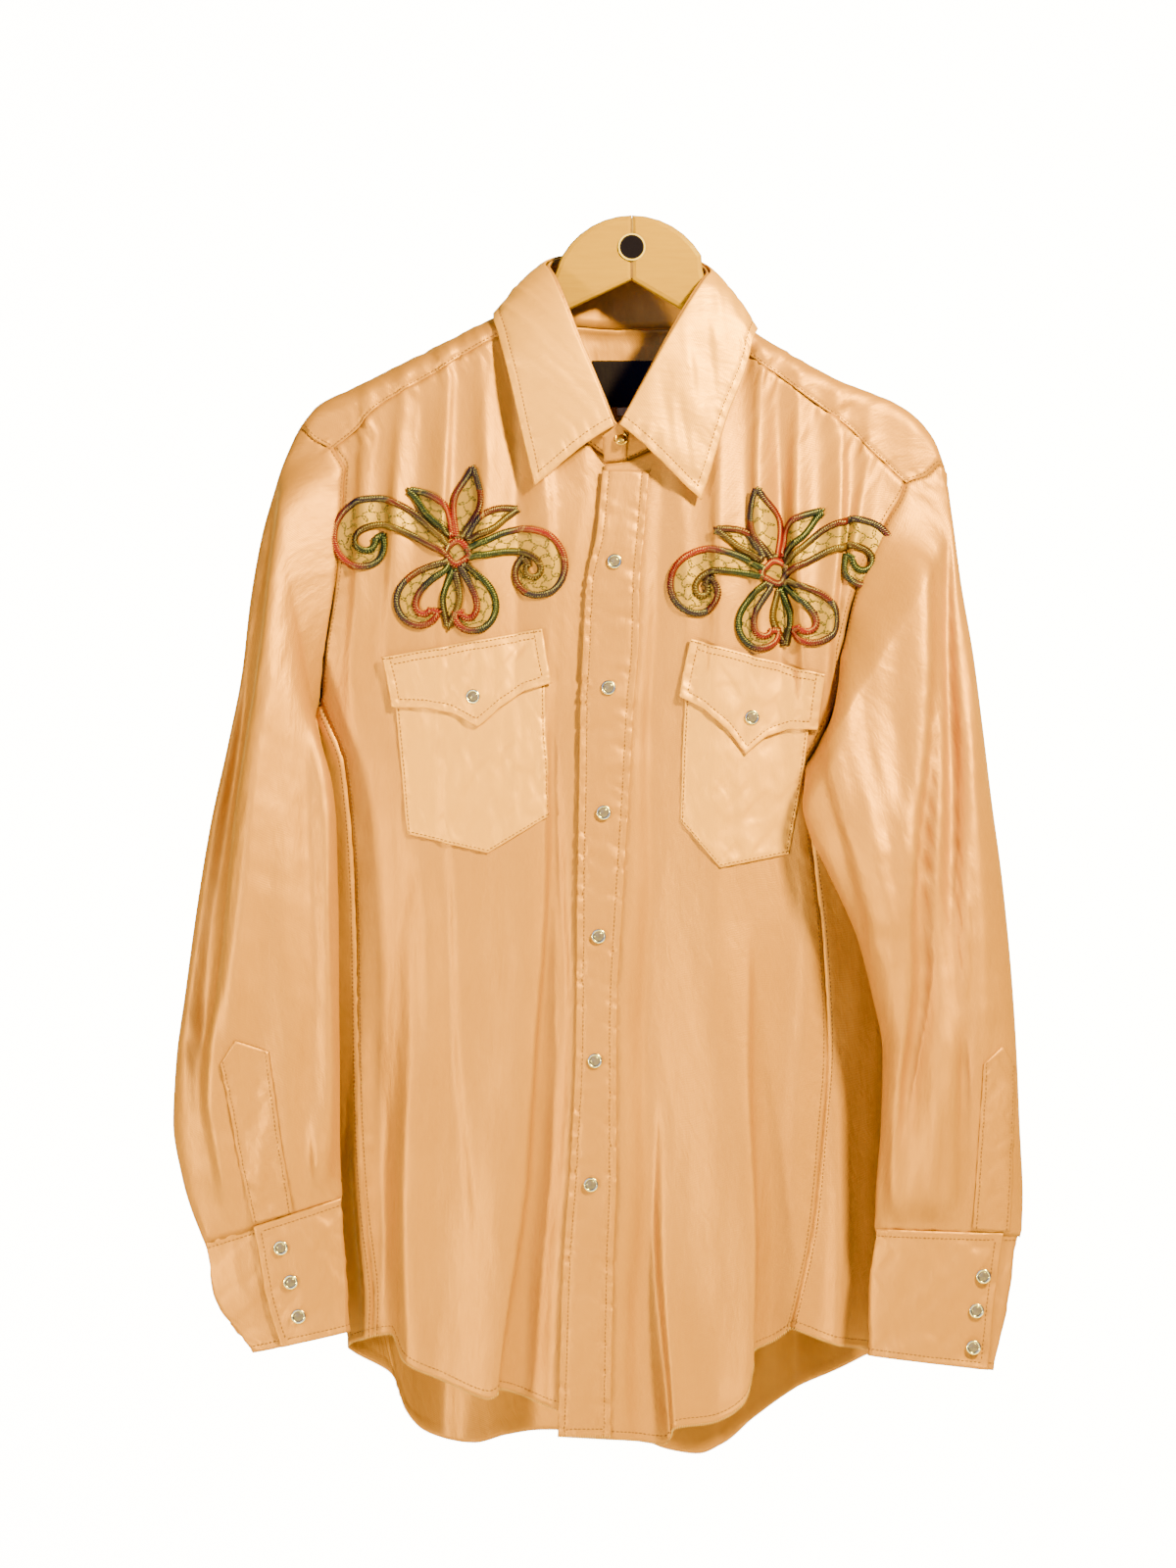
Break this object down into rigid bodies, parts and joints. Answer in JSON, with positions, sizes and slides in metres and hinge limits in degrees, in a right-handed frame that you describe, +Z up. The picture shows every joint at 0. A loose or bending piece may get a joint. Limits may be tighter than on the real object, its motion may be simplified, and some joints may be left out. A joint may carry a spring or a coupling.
{
  "type": "western snap shirt on a wooden hanger",
  "caption": "Long-sleeved western shirt with pointed collar, shaped yoke, snap placket, flapped chest pockets and snap cuffs, hanging open-hemmed on a flat wooden hanger.",
  "frame": {"origin": "top of the hanger's hub, where its hook screws in", "axes": "the shirt faces -Y and hangs down -Z from the origin; +X is to the viewer's right, +Z up, +Y from front to back"},
  "size_m": [0.5963, 0.1263, 0.8819],
  "materials": {
    "shirt_cloth": "satin",
    "pearl_snap": "gloss",
    "snap_metal": "satin",
    "label_cloth": "matte",
    "tag_cloth": "matte",
    "hanger_wood": "satin",
    "disc": "satin"
  },
  "bodies": {
    "root": {"back": "shirt_cloth", "collar": "shirt_cloth", "collar_stand": "shirt_cloth", "cuff_left": "shirt_cloth", "cuff_right": "shirt_cloth", "front_left": "shirt_cloth", "front_placket": "shirt_cloth", "front_right": "shirt_cloth", "hanger_disc": "disc", "hanger_left": "hanger_wood", "hanger_right": "hanger_wood", "neck_label": "label_cloth", "pocket_flap_left": "shirt_cloth", "pocket_flap_right": "shirt_cloth", "pocket_left": "shirt_cloth", "pocket_right": "shirt_cloth", "size_tag": "tag_cloth", "sleeve_left": "shirt_cloth", "sleeve_placket_left": "shirt_cloth", "sleeve_placket_right": "shirt_cloth", "sleeve_right": "shirt_cloth", "snap_collar": "snap_metal", "snap_cuff_left_1": "pearl_snap", "snap_cuff_left_2": "pearl_snap", "snap_cuff_left_3": "pearl_snap", "snap_cuff_right_1": "pearl_snap", "snap_cuff_right_2": "pearl_snap", "snap_cuff_right_3": "pearl_snap", "snap_front_1": "pearl_snap", "snap_front_2": "pearl_snap", "snap_front_3": "pearl_snap", "snap_front_4": "pearl_snap", "snap_front_5": "pearl_snap", "snap_front_6": "pearl_snap", "snap_pocket_left": "pearl_snap", "snap_pocket_right": "pearl_snap", "yoke": "shirt_cloth"}
  },
  "joints": []
}
